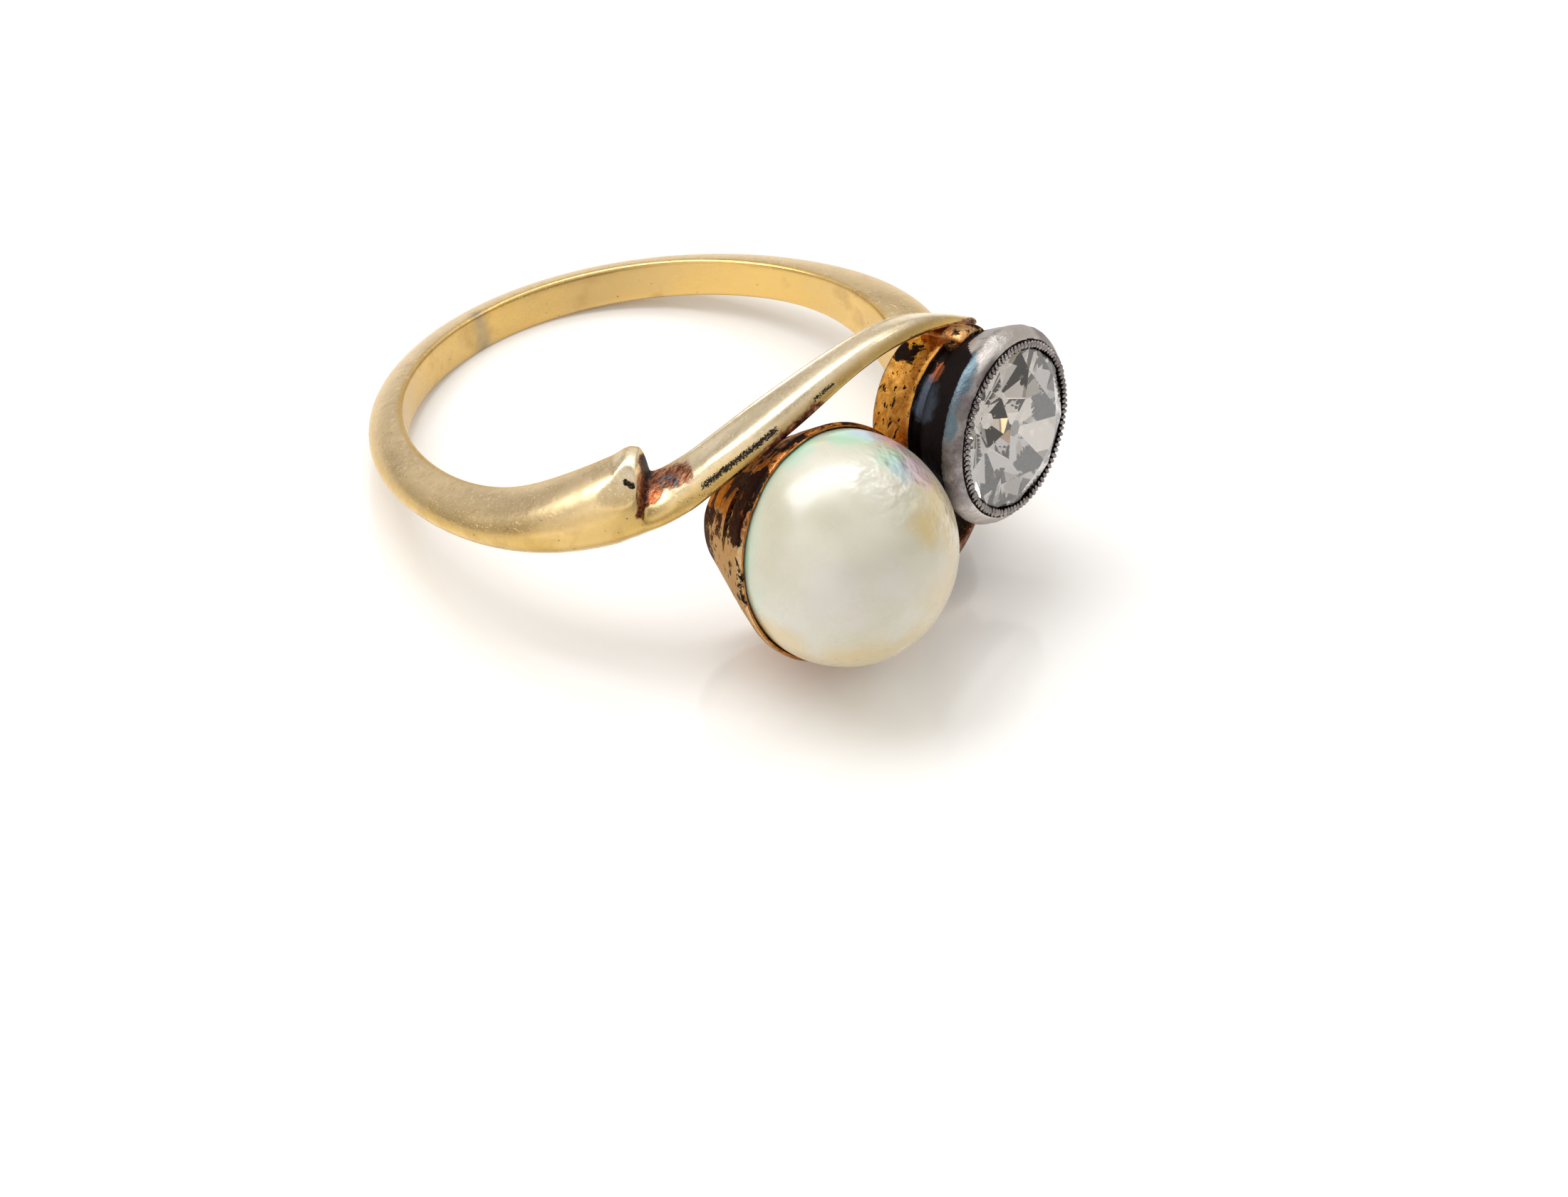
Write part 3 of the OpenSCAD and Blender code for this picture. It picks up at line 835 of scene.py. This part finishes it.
def mark_shank(shank):
    """Wear and tarnish, painted highlights on the upper faces and painted shade under the stones; the paths
    are places on the left arm, as the photo shows it.
    """
    def inside(p):
        return clamped((FINGER_R + 0.25 - from_axis(p)) / 0.12) if p.y > -7 else 0.0

    def inner_half(p, row):
        """1 on the arm's inner half, 0 on the face that slopes to its rim."""
        return clamped(1 - ((from_axis(p) - FINGER_R - row[1]) / row[2] - 0.76) / 0.22)

    # the upper flank, and the arm's inner half, which the gold paints paler as painted sheen
    def upper(p):
        a = back_angle(p)
        if a > PAST_TIP or a > 150 and p.z < 0.5:
            row = station_at(360 - a)
            return (p.z + row[5]) / (row[5] - row[4] + 0.3)
        row = station_at(a)
        flank = clamped((p.z - row[5]) / (0.95 * (row[3] - row[5])))
        arm = clamped((a - NOTCH_TO) / 12)
        return flank * (1 - arm) + inner_half(p, row) * arm

    # painted highlight: the nose's top, and the arms' upper faces out to the crest
    def pale_arm(p):
        a = back_angle(p)
        if a > PAST_TIP or p.z < 0.5:
            return 0.0
        row = station_at(a)
        if a < NOTCH_TO:
            return 0.75 * near(p, (-7.1, -6.2, 2.75), 1.1)
        return 0.8 * clamped((a - NOTCH_TO) / 12) * clamped((p.z - row[5]) / 0.3) * inner_half(p, row)

    eye = eye_from(RING_SEAT)
    groove = seen([(-6.15, -5.88, 2.25), (-6.40, -6.22, 1.87), (-7.05, -6.74, 1.76),
                   (-7.40, -6.96, 1.62)], eye)
    groove_end = seen([(-7.05, -6.74, 1.76), (-7.49, -6.98, 1.57), (-7.73, -6.92, 1.24)], eye)
    root = seen([(-6.30, -6.65, 1.82), (-6.10, -6.98, 1.90), (-5.90, -7.25, 2.02)], eye)
    spots = seen([(-6.30, -6.80, 1.80), (-6.20, -7.20, 1.85)], eye)
    ember = seen([(-6.95, -6.86, 1.47), (-6.75, -6.86, 1.60)], eye)
    lower_edge = seen([(-4.30, -9.85, 2.75), (-3.50, -10.20, 3.25), (-2.55, -10.48, 3.75)], eye)
    streak = seen([(-5.90, -8.25, 1.88), (-4.96, -8.99, 2.60), (-3.85, -9.75, 3.37)], eye)
    streak_far = seen([(-2.50, -10.36, 4.05), (-1.87, -10.55, 4.34)], eye)
    line = seen([(-6.6, -7.6, 1.35), (-5.6, -8.75, 1.75)], eye)
    pit = seen([(-7.57, -6.36, 2.25), (-7.51, -6.61, 2.15)], eye)
    tip = seen([(2.2, -10.5, 3.95), (3.3, -10.8, 3.85), (4.6, -10.9, 3.7)], eye)

    def shaded_under_stones(p, rim):
        """Up to 1 where the right arm passes close under the stones, out to this share of its thickness:
        painted shade there.
        """
        a = 360 - back_angle(p)
        if p.z > -0.3 or not 144 < a < 182:
            return 0.0
        row = station_at(a)
        out = (from_axis(p) - FINGER_R - row[1] - right_bulge(a)) / row[2]
        return clamped(1.3 - 1.3 * abs(a - 163) / 18) * clamped((rim - out) / 0.2)

    def on_left(p, path, reach):
        """As along, where the left arm is seen."""
        return along(seen([p], eye)[0], path, reach) if 126 < back_angle(p) < PAST_TIP and p.z > 0.3 else 0.0

    # red tarnish along the paths, and red-brown painted shade under the stones
    def red(p):
        return max(1.1 * on_left(p, groove, 0.34), on_left(p, groove_end, 0.19),
                   1.05 * on_left(p, root, 0.62), on_left(p, ember, 0.34), on_left(p, lower_edge, 0.42),
                   0.9 * on_left(p, tip, 0.34), 0.85 * shaded_under_stones(p, 1.3))

    # black streaks and soot along the paths, and black painted shade under the stones
    def soot(p):
        return max(0.85 * on_left(p, groove[:2], 0.26), 0.50 * on_left(p, groove, 0.30),
                   0.80 * on_left(p, streak, 0.19), 0.74 * on_left(p, streak_far, 0.13),
                   0.45 * on_left(p, line, 0.10), 0.8 * on_left(p, tip, 0.16),
                   0.95 * shaded_under_stones(p, 1.0))

    marked(shank, inside=inside, upper=upper, pale_arm=pale_arm, red=red, soot=soot,
           ember=lambda p: on_left(p, ember, 0.27),
           pit=lambda p: on_left(p, pit, 0.14) if from_axis(p) > 9.3 else 0.0,
           bloom=lambda p: 0.70 * on_left(p, spots, 0.44),
           seam=lambda p: near(p, (0.15, 8.5, p.z), 0.50) if p.y > 0 else 0.0)


shank = model_shank()
mark_shank(shank)
smooth(shank)
placed(shank, RING_SEAT, "gold_mount", GOLD)

# ---------- the pearl and its cup

LIP_R, LIP_DEPTH = 3.84, 0.60
FOOT_R, FOOT_DEPTH, CUP_WALL = 2.10, 4.60, 0.40
CUP_SLOTS, SLOT_HALF_TURN, SLOT_OPEN, SLOT_DEPTH = 6, 20, 0.22, 2.16
PEARL_FLAT = 1.02           # how far behind its middle the pearl is ground flat


def model_cup():
    """Tapered cup, open at the back, with a plate behind the pearl and curved slots."""
    profile = [(0.45, -1.05), (3.58, -1.05), (LIP_R - 0.07, -LIP_DEPTH), (LIP_R - 0.02, -LIP_DEPTH + 0.02),
               (LIP_R + 0.01, -LIP_DEPTH - 0.06), (LIP_R, -0.82), (LIP_R - 0.12, -1.1), (LIP_R - 0.42, -1.8),
               (2.62, -3.5), (FOOT_R, -FOOT_DEPTH), (FOOT_R - CUP_WALL, -FOOT_DEPTH), (2.35, -3.2),
               (2.98, -1.9), (3.12, -1.45), (0.45, -1.45)]
    cup = lathed("pearl_cup", profile, 120)
    slot = added("slot_cutter", bpy.ops.mesh.primitive_cube_add, size=1)
    open_mesh(slot)
    bpy.ops.mesh.subdivide(number_cuts=15)
    close_mesh()
    for v in slot.data.vertices:
        t = v.co.x * 2                      # -1 to 1 along the slot
        open_by = SLOT_OPEN * max(0.03, 1 - abs(t) ** 2.2) * (1.15 - 0.25 * t)
        angle = math.radians(SLOT_HALF_TURN * t)
        r = 3.2 + v.co.y * 2.4
        depth = SLOT_DEPTH + 0.12 * t + v.co.z * 2 * open_by
        v.co = (r * math.cos(angle), r * math.sin(angle), -depth)
    tidy_normals(slot)
    for k in range(CUP_SLOTS):
        cutter = slot.copy()
        cutter.data = slot.data.copy()
        bpy.context.collection.objects.link(cutter)
        cutter.data.transform(turned(150 + 360 / CUP_SLOTS * k, "Z"))
        modified(cup, "BOOLEAN", operation="DIFFERENCE", object=cutter, solver="EXACT")
        bpy.data.objects.remove(cutter)
    bpy.data.objects.remove(slot)
    cup.data.transform(TALLER)
    modified(cup, "BEVEL", width=0.035, segments=2, limit_method="ANGLE", angle_limit=math.radians(50))
    return cup


def bore_cut(piece, seat):
    """Cuts away what would stand into the finger hole."""
    bore = added("finger_bore", bpy.ops.mesh.primitive_cylinder_add, vertices=256, radius=FINGER_R, depth=20)
    bore.data.transform(seat.inverted())
    modified(piece, "BOOLEAN", operation="DIFFERENCE", object=bore, solver="EXACT")
    bpy.data.objects.remove(bore)


def ring_place(angle, r, depth):
    """A place on a setting, from its angle, distance from the middle and depth behind the front."""
    a = math.radians(angle)
    return r * math.cos(a), r * math.sin(a), -depth


def turn_from(p, angle):
    """1 at this angle of a setting, 0 a quarter turn from it."""
    return math.cos(math.atan2(p.y, p.x) - math.radians(angle))


def mark_cup(cup):
    hollow = [ring_place(150, 3.75, 1.15), ring_place(138, 3.72, 1.25), ring_place(124, 3.68, 1.4)]
    crack = [ring_place(166, 3.66, 1.62), ring_place(145, 3.64, 1.65), ring_place(136, 3.58, 1.78),
             ring_place(121, 3.4, 2.1)]
    low_pit = [ring_place(178, 3.80, 1.45), ring_place(186, 3.74, 1.20)]

    # darker towards the top and around the lip; black tarnish with the arm's painted shadow in the hollow;
    # darker along the crack and in the low pit; black as painted shade in the hidden places inside and behind
    def soot(p):
        upper = max(0.0, turn_from(p, 110))
        lip = max(0.0, 1 - abs(p.z + 0.80) / 0.35)
        hidden = 0.95 if from_axis(p) < 2.0 or -p.z > 4.5 else 0
        return max(0.15 + 0.34 * upper + 0.15 * lip, 1.7 * along(p, hollow, 0.70),
                   1.4 * along(p, crack, 0.30), 1.2 * along(p, low_pit, 0.16), hidden)

    marked(cup, soot=soot, bare=lambda p: max(0.0, turn_from(p, 192)) ** 1.6,
           bloom=lambda p: 0.35 * turn_from(p, 85), rust=lambda p: 0.30 * turn_from(p, 150), pitted=0)


cup = model_cup()
bore_cut(cup, PEARL_SEAT)
without_slivers(cup)
mark_cup(cup)
smooth(cup, 35)
placed(cup, PEARL_SEAT, "gold_mount", CUP_COPPER)


def model_lip():
    """Thin bright edge of the cup, rubbed down over the pearl."""
    profile = [(3.735, -0.66), (3.742, -0.585), (3.757, -0.560), (3.782, -0.566), (3.802, -0.60),
               (3.805, -0.67), (3.78, -0.70), (3.745, -0.69)]
    lip = lathed("cup_lip", profile, 160)
    for v in lip.data.vertices:
        v.co.z += noise.noise(Vector((v.co.x, v.co.y, 0)) * 1.7) * 0.03
    lip.data.transform(TALLER)
    return lip


lip = model_lip()
marked(lip, soot=0.26, bare=0.1, bloom=0, rust=0.25, pitted=0)
smooth(lip)
placed(lip, PEARL_SEAT, "gold_mount", CUP_COPPER)


def seen_at(across, up):
    """Direction on the pearl that faces the photo's side, this far across and up its disc."""
    out = math.sqrt(max(0.0, 1 - across * across - up * up))
    aim = across * EYE_RIGHT + up * EYE_UP + out * EYE_TOWARDS
    return ((LYING @ PEARL_SEAT).to_3x3().inverted() @ aim).normalized()


def model_pearl():
    """Nearly round pearl with shallow growth marks, ground flat behind."""
    pearl = added("pearl_body", bpy.ops.mesh.primitive_ico_sphere_add, subdivisions=6, radius=PEARL_R)
    open_mesh(pearl)
    bpy.ops.mesh.bisect(plane_co=(0, 0, -PEARL_FLAT), plane_no=(0, 0, 1), use_fill=True, clear_inner=True)
    close_mesh()
    for v in pearl.data.vertices:
        n = v.co.normalized()
        if v.co.z > -0.9:
            wrinkled = near(n, seen_at(0.50, 0.55), 0.75)
            swell = 0.020 * noise.noise(n * 2.1) + 0.006 * noise.noise(n * 4.0)
            crease = 0.022 * wrinkled * noise.noise(Vector((n.x * 9, n.y * 5, n.z * 9)))
            v.co -= n * (0.016 + swell + crease)
    pearl.data.transform(TALLER)
    return pearl


def mark_pearl(pearl):
    """Crinkled skin, orient and tints, as (across the disc, up it, reach, strength)."""
    marks = {
        "crinkled": [(0.45, 0.60, 0.55, 1.0), (0.85, 0.25, 0.40, 0.6)],
        "green": [(-0.93, 0.05, 0.50, 0.8), (-0.78, 0.50, 0.45, 0.9), (-0.45, 0.82, 0.40, 0.8),
                  (0.05, 0.93, 0.35, 0.9), (0.40, 0.74, 0.30, 0.6), (-0.80, -0.42, 0.35, 0.5)],
        "blue": [(0.20, 0.94, 0.26, 0.9), (0.48, 0.66, 0.22, 0.5)],
        "rose": [(0.42, 0.88, 0.26, 0.9), (0.62, 0.66, 0.30, 0.8), (0.30, 0.97, 0.2, 0.8),
                 (0.10, -0.50, 0.45, 0.15)],
        "milky": [(-0.05, -0.45, 0.55, 0.8), (0.35, -0.35, 0.45, 0.6), (-0.45, 0.35, 0.35, 0.4)],
        "golden": [(0.80, 0.42, 0.40, 0.85), (0.70, 0.20, 0.34, 0.8), (0.98, 0.1, 0.65, 1.0),
                   (0.90, -0.40, 0.70, 0.9), (0.15, -0.98, 0.70, 1.0), (-0.55, -0.82, 0.55, 1.0),
                   (0.68, -0.73, 0.65, 1.0), (-0.85, -0.50, 0.40, 0.7)],
    }

    def spotted(spots):
        places = [(seen_at(across, up), reach, strength) for across, up, reach, strength in spots]
        return lambda p: max(strength * near(p.normalized(), aim, reach) for aim, reach, strength in places)

    marked(pearl, **{name: spotted(spots) for name, spots in marks.items()})


pearl = model_pearl()
mark_pearl(pearl)
smooth(pearl, 40)
placed(pearl, PEARL_SEAT, "pearl", PEARL)

# ---------- the diamond's gallery and collet


def model_gallery():
    """Straight neck behind the collet, then a rolled ridge and a tapered band, open at the back."""
    profile = [(2.05, -1.0), (2.45, -1.0), (2.44, -1.6), (2.43, -2.2), (2.47, -2.34), (2.60, -2.40),
               (2.69, -2.50), (2.71, -2.75), (2.66, -3.3), (2.52, -3.95), (2.48, -4.0), (2.05, -4.0),
               (2.05, -2.5)]
    gallery = lathed("gallery", profile, 120)
    modified(gallery, "SUBSURF", levels=2)
    for v in gallery.data.vertices:
        dent = noise.noise(Vector(v.co) * 0.9) * 0.03 + noise.noise(Vector(v.co) * 2.6) * 0.012
        v.co.x += v.co.x / 2.5 * dent
        v.co.y += v.co.y / 2.5 * dent
    return gallery


def mark_gallery(gallery):
    haze = [ring_place(151, 2.45, 1.95), ring_place(132, 2.45, 1.95)]
    blotch = [ring_place(124, 2.45, 1.95), ring_place(112, 2.45, 1.95)]
    under_arm = [ring_place(108, 2.54, 3.87), ring_place(112, 2.62, 3.33), ring_place(106, 2.63, 3.0)]

    # black inside as painted shade, black on the neck behind the collet, and the arm's painted shadow on the
    # band under it
    def soot(p):
        r, depth = from_axis(p), -p.z
        if r < 2.2:
            return 0.8
        if depth < 2.45:
            return 1.4 - max(0.0, depth - 2.3) * 4
        return 0.08 + 0.25 * max(0.0, 1 - (depth - 2.45) / 0.3) + 0.55 * along(p, under_arm, 0.60)

    marked(gallery, soot=soot, bare=0,
           bloom=lambda p: 1.1 * along(p, haze, 0.75) + (0.7 if -p.z > 3.88 else 0.0),
           rust=lambda p: along(p, blotch, 0.42) + 0.35 * max(0.0, 1 - abs(p.z + 2.45) / 0.25),
           pitted=lambda p: 1.0 if -p.z > 2.5 else 0.0)


gallery = model_gallery()
mark_gallery(gallery)
smooth(gallery, 50)
placed(gallery, DIAMOND_SEAT, "gold_mount", GALLERY_GOLD)


def model_solder(name, inner, low, high, front, back, start, sweep):
    """Pad of solder that carries an arm's tip on a setting."""
    pad = added(name, bpy.ops.mesh.primitive_cube_add, size=1)
    open_mesh(pad)
    bpy.ops.mesh.subdivide(number_cuts=9)
    close_mesh()
    for v in pad.data.vertices:
        across, deep, out = v.co.x + 0.5, v.co.y + 0.5, v.co.z + 0.5
        depth = front + (back - front) * deep
        rim = high + (low - high) * clamped((deep - 0.15) / 0.5)
        rim += 0.04 * noise.noise(Vector((across * 3, deep * 3, 2.0)))
        edge = 1 - 0.12 * (abs(2 * across - 1) ** 4 + abs(2 * deep - 1) ** 6)
        r = inner + (rim - inner) * out * edge
        angle = math.radians(start + sweep * across)
        v.co = (r * math.cos(angle), r * math.sin(angle), -depth)
    tidy_normals(pad)
    modified(pad, "SUBSURF", levels=1)
    return pad


for name, seat, sizes in (
        ("left_tip_solder", DIAMOND_SEAT,
         dict(inner=2.2, low=3.05, high=3.15, front=1.68, back=3.4, start=68, sweep=27)),
        ("right_tip_solder", PEARL_SEAT,
         dict(inner=2.9, low=3.6, high=3.7, front=1.7, back=2.7, start=238, sweep=28))):
    pad = model_solder(name, **sizes)
    marked(pad, soot=0.32, bare=0.50, bloom=0.12, rust=0.26, pitted=0)
    smooth(pad, 50)
    placed(pad, seat, "gold_mount", CUP_COPPER)


def model_bridge():
    """Short waisted bar of solder between the gallery and the cup."""
    bridge = added("solder_bridge", bpy.ops.mesh.primitive_cylinder_add, vertices=32, radius=0.35, depth=1.3)
    open_mesh(bridge)
    bpy.ops.mesh.subdivide(number_cuts=4)
    close_mesh()
    for v in bridge.data.vertices:
        waist = 1 + 0.5 * abs(v.co.z / 0.65) ** 3
        v.co.x *= waist
        v.co.y *= waist
    bridge.data.transform(turned(194, "Z") @ Matrix.Translation((2.84, 0, -3.15)) @ turned(90, "Y"))
    return bridge


bridge = model_bridge()
marked(bridge, soot=0.8, bare=0, bloom=0.1, rust=0.1, pitted=0)
smooth(bridge, 50)
placed(bridge, DIAMOND_SEAT, "gold_mount", CUP_COPPER)


def model_collet():
    """Silver rim: skirt around the neck, rounded outside, sloping face, furrow and the beads' edge."""
    profile = [(2.15, -0.97), (2.48, -0.97), (2.48, -1.25), (2.48, -1.75), (2.47, -2.05), (2.50, -2.09),
               (2.62, -1.98), (2.80, -1.80), (2.97, -1.58), (3.11, -1.30), (3.23, -1.00), (3.33, -0.76),
               (3.38, -0.60), (3.38, -0.48), (3.33, -0.34), (3.23, -0.20), (3.11, -0.08), (3.02, -0.02),
               (2.985, -0.025), (2.96, 0.005), (2.91, 0.035), (2.86, 0.03), (2.84, 0.0), (2.845, -0.04),
               (2.905, -0.06), (2.91, -0.16)]
    collet = lathed("collet", profile, 144)
    modified(collet, "SUBSURF", levels=1)
    for v in collet.data.vertices:
        r = from_axis(v.co)
        if r > 2.93:
            dent = noise.noise(Vector(v.co) * 1.1) * 0.035 + noise.noise(Vector(v.co) * 3.4) * 0.015
            v.co.x += v.co.x / r * dent
            v.co.y += v.co.y / r * dent
    return collet


def mark_collet(collet):
    eye = eye_from(DIAMOND_SEAT)
    haze = seen([ring_place(153, 2.45, 2.05), ring_place(134, 2.45, 2.2)], eye)
    copper = seen([ring_place(124, 2.45, 2.17), ring_place(114, 2.45, 2.15)], eye)

    def in_recess(p, path, reach):
        """As along, where the recess is seen."""
        return along(seen([p], eye)[0], path, reach) if -p.z > 0.6 and turn_from(p, 130) > 0.3 else 0.0

    def teal(p):
        side = clamped((from_axis(p) - 3.05) / 0.2) * clamped((-p.z - 0.06) / 0.3)
        return 0.85 * side * max(0.0, turn_from(p, 136)) ** 3

    def rubbed(p):
        return clamped((turn_from(p, 78) - 0.84) / 0.1)

    # black as painted shade in the seat inside the beads and in the furrow; black on the outer side behind
    # the rim, except where it is rubbed
    def soot(p):
        r, depth = from_axis(p), -p.z
        if r < 2.90:
            return 1.0
        if depth > 0.45:
            return 1.2 * clamped((depth - 0.52 - 0.70 * rubbed(p)) / 0.18)
        return 0.9 if 2.955 < r < 3.015 and depth < 0.05 else 0.0

    # painted glint and highlights: a glint on the rim, the rubbed patch, the upper side and the lower left of
    # the rim
    def bright(p):
        r = from_axis(p)
        glint = max(0.0, 1 - abs(r - 3.25) / 0.2) * max(0.0, (turn_from(p, 104) - 0.93) / 0.07)
        lower = clamped((turn_from(p, 248) - 0.55) / 0.45)
        return max(glint, 0.65 * rubbed(p), 0.35 * max(0.0, turn_from(p, 60)), 0.85 * lower)

    marked(collet, teal=teal, soot=soot, bright=bright, bloom=lambda p: in_recess(p, haze, 0.55),
           blotch=lambda p: in_recess(p, copper, 0.28))


collet = model_collet()
mark_collet(collet)
smooth(collet, 50)
placed(collet, DIAMOND_SEAT, "silver_collet", SILVER)

BEADS, BEAD_R, BEADS_AT = 94, 0.112, 2.845


def model_beads():
    """Row of small beads along the collet's inner edge, worn and uneven, cut by a wheel."""
    chance = random.Random(7)
    bead = added("millegrain", bpy.ops.mesh.primitive_uv_sphere_add, segments=10, ring_count=6, radius=BEAD_R)
    shape = [Vector(v.co) for v in bead.data.vertices]
    faces = [tuple(f.vertices) for f in bead.data.polygons]
    points, all_faces = [], []
    for k in range(BEADS):
        angle = 2 * math.pi * k / BEADS + chance.uniform(-0.006, 0.006)
        size = chance.uniform(0.85, 1.10)
        r = BEADS_AT + chance.uniform(-0.012, 0.012)
        spot = turned(math.degrees(angle), "Z") @ Matrix.Translation((r, 0, 0.035)) @ Matrix.Diagonal(
            (1.35 * size, 0.74 * size, 0.95 * size, 1))
        base = len(points)
        points += [spot @ v for v in shape]
        all_faces += [tuple(base + i for i in f) for f in faces]
    bead.data.clear_geometry()
    bead.data.from_pydata(points, [], all_faces)
    return bead


beads = model_beads()
# beads lightened a little through the painted highlight mark, black below their middle as painted shade
marked(beads, teal=0, bloom=0, blotch=0, bright=0.30, soot=lambda p: 1.0 if p.z < 0.05 else 0.0)
smooth(beads)
placed(beads, DIAMOND_SEAT, "silver_collet", SILVER)

# ---------- the diamond stays as it is cut

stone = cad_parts["diamond"]
stone.data.materials.clear()
stone.data.materials.append(DIAMOND)

# ---------- table

table = added("table_top", bpy.ops.mesh.primitive_plane_add, size=3)
table.data.materials.append(white_table())
